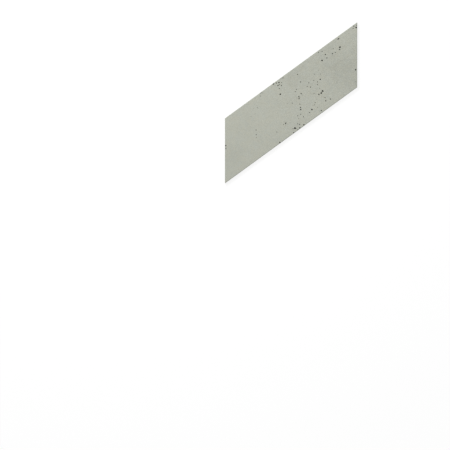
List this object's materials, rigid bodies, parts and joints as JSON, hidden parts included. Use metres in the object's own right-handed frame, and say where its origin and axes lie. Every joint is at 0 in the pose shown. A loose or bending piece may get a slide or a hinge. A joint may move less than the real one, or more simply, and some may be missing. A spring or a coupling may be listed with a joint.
{
  "type": "concrete wall panel",
  "caption": "Flat parallelogram wall panel of porous cast concrete for a chevron layout, with eased face edges and open air voids.",
  "frame": {"origin": "middle of the flat back face, which the panel lies on", "axes": "+X across the panel from one upright edge to the other, +Y up along the upright edges, +Z out of the show face"},
  "size_m": [0.6, 0.731, 0.02],
  "materials": {
    "concrete": "matte"
  },
  "bodies": {
    "root": {"panel": "concrete"}
  },
  "joints": []
}
